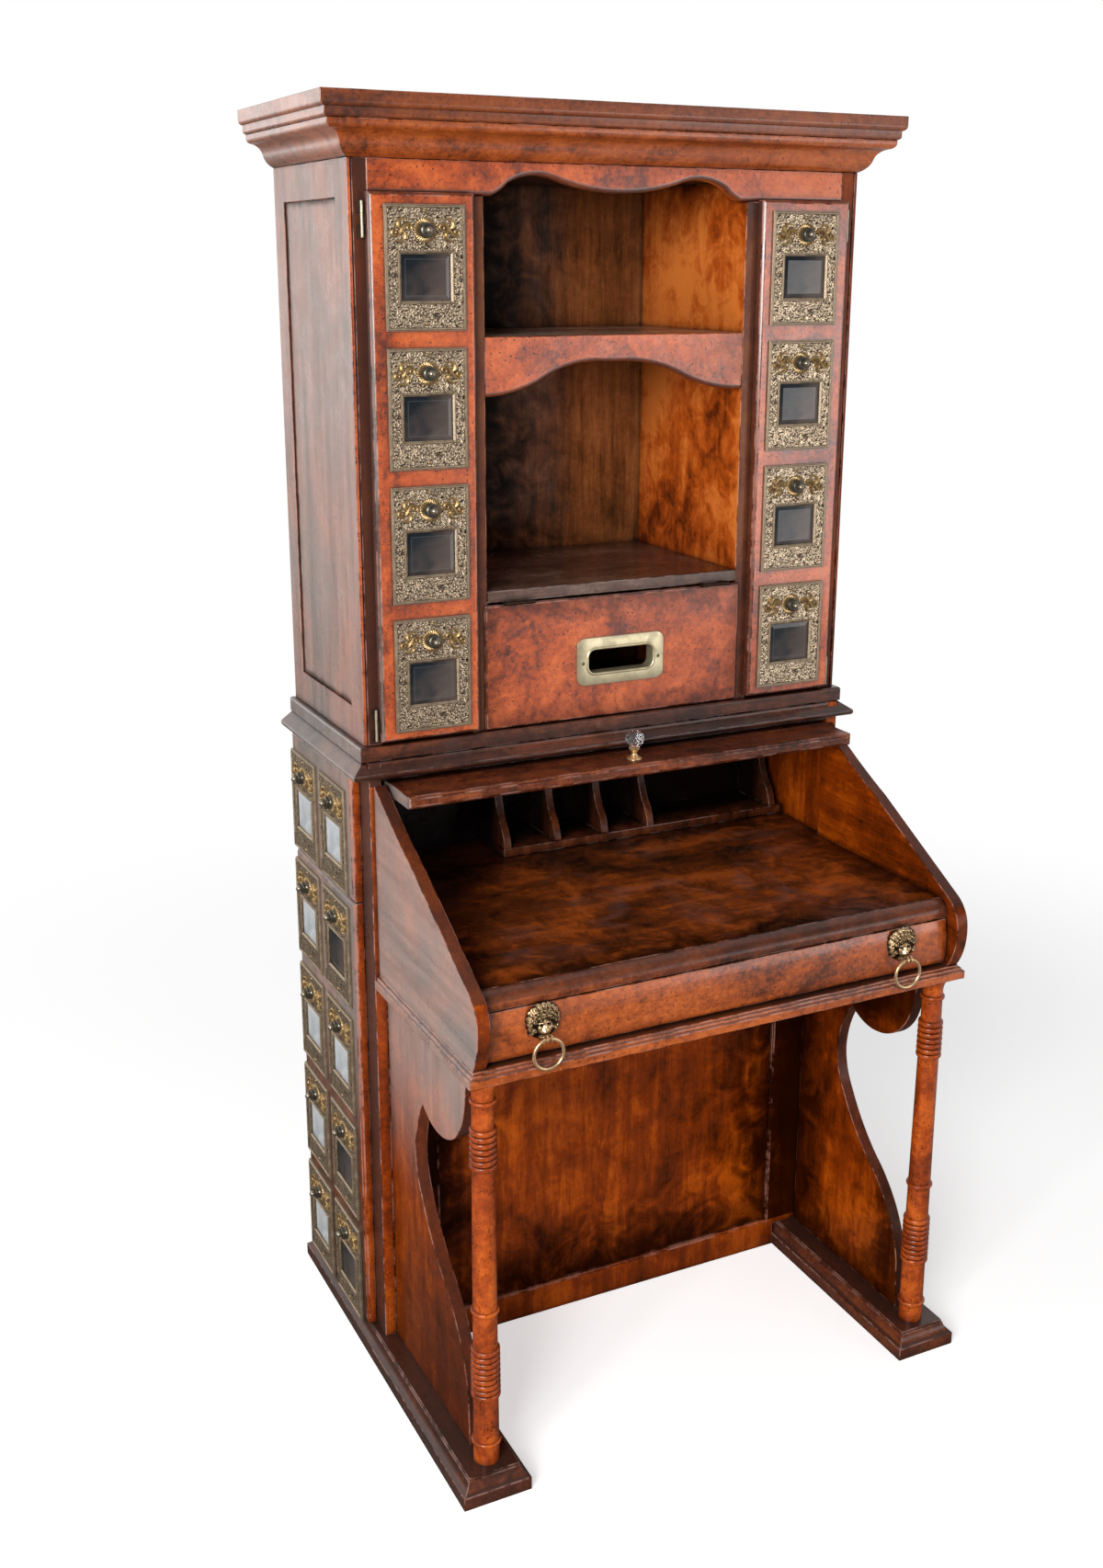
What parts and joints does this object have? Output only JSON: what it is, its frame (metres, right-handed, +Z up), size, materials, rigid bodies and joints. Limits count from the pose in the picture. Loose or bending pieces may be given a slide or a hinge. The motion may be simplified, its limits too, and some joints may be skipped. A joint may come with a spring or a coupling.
{
  "type": "clerk's desk",
  "caption": "Tall clerk's writing desk: knee-hole base on long feet with turned columns, sloping box with sliding lid and drawer, and a letter cabinet with brass letter-box door fronts.",
  "frame": {"origin": "on the floor, under the centre of the overall box", "axes": "+Z up, the front faces -Y, +X to the right of a person who looks at the front"},
  "size_m": [0.9408, 0.726, 1.95],
  "materials": {
    "burl_wood": "red-brown burl veneer, polished and distressed",
    "dark_wood": "dark mottled wood, polished",
    "inner_wood": "plain stained wood",
    "aged_brass": "cast brass, darkened in the ground and rubbed on the high places",
    "satin_brass": "pale satin brass",
    "hinge_brass": "dull brass",
    "pane_glass": "dark bevelled glass",
    "knob_glass": "clear faceted glass"
  },
  "bodies": {
    "desk": {"right_foot": "burl_wood", "left_foot": "burl_wood", "columns": "burl_wood", "right_bracket": "burl_wood", "left_bracket": "burl_wood", "base_board": "burl_wood", "right_gable": "burl_wood", "left_gable": "burl_wood", "front_rail": "burl_wood", "pigeonholes": "burl_wood", "left_case_side": "burl_wood", "right_case_side": "burl_wood", "knee_frame": "burl_wood", "right_cabinet_side": "burl_wood", "left_cabinet_side": "burl_wood", "partitions": "burl_wood", "top_rail": "burl_wood", "shelf_apron": "burl_wood", "cornice_moulding": "burl_wood", "cornice_top": "burl_wood", "upper_side_panel": "burl_wood", "waist_moulding": "burl_wood", "writing_surface": "dark_wood", "waist_board": "dark_wood", "lower_shelf": "dark_wood", "upper_shelf": "dark_wood", "well_back": "dark_wood", "cabinet_back": "dark_wood", "case_back": "dark_wood", "cabinet_top_board": "dark_wood", "lid_runners": "inner_wood", "drawer_runners": "inner_wood", "case_floor": "inner_wood", "cabinet_shelves": "inner_wood", "compartment_shelves": "inner_wood", "upper_side_plates": "aged_brass", "fixed_hinge_halves": "hinge_brass", "upper_side_panes": "pane_glass"},
    "left_door": {"left_door": "burl_wood", "left_door_plates": "aged_brass", "left_door_panes": "pane_glass", "left_door_hinges": "hinge_brass"},
    "right_door": {"right_door": "burl_wood", "right_door_plates": "aged_brass", "right_door_panes": "pane_glass", "right_door_hinges": "hinge_brass"},
    "side_door": {"side_door": "burl_wood", "side_door_plates": "aged_brass", "side_door_panes": "pane_glass", "side_door_hinges": "hinge_brass"},
    "mail_flap": {"mail_flap": "burl_wood", "mail_flap_fittings": "satin_brass"},
    "lid": {"lid": "burl_wood", "lid_knob_base": "aged_brass", "lid_knob": "knob_glass"},
    "drawer": {"drawer_front": "burl_wood", "drawer_box": "inner_wood", "lion_masks": "aged_brass"},
    "left_ring": {"left_ring": "aged_brass"},
    "right_ring": {"right_ring": "aged_brass"}
  },
  "joints": [
    {"name": "left_door_hinge", "type": "hinge", "parent": "desk", "child": "left_door", "pos_m": [-0.4005, 0.0275, 1.438], "axis": [0, 0, -1], "range_deg": [0, 110]},
    {"name": "right_door_hinge", "type": "hinge", "parent": "desk", "child": "right_door", "pos_m": [0.4005, 0.0275, 1.438], "axis": [0, 0, 1], "range_deg": [0, 110]},
    {"name": "side_door_hinge", "type": "hinge", "parent": "desk", "child": "side_door", "pos_m": [-0.4235, 0.3475, 0.415], "axis": [0, 0, -1], "range_deg": [0, 100]},
    {"name": "mail_flap_hinge", "type": "hinge", "parent": "desk", "child": "mail_flap", "pos_m": [0, 0.0237, 1.24078], "axis": [-1, 0, 0], "range_deg": [0, 90]},
    {"name": "lid_slide", "type": "slide", "parent": "desk", "child": "lid", "axis": [0, -1, 0], "range_m": [0, 0.28]},
    {"name": "drawer_slide", "type": "slide", "parent": "desk", "child": "drawer", "axis": [0, -1, 0], "range_m": [0, 0.25]},
    {"name": "left_ring_swing", "type": "hinge", "parent": "drawer", "child": "left_ring", "pos_m": [-0.304, -0.356, 0.7175], "axis": [-1, 0, 0], "range_deg": [0, 80]},
    {"name": "right_ring_swing", "type": "hinge", "parent": "drawer", "child": "right_ring", "pos_m": [0.304, -0.356, 0.7175], "axis": [-1, 0, 0], "range_deg": [0, 80]}
  ]
}
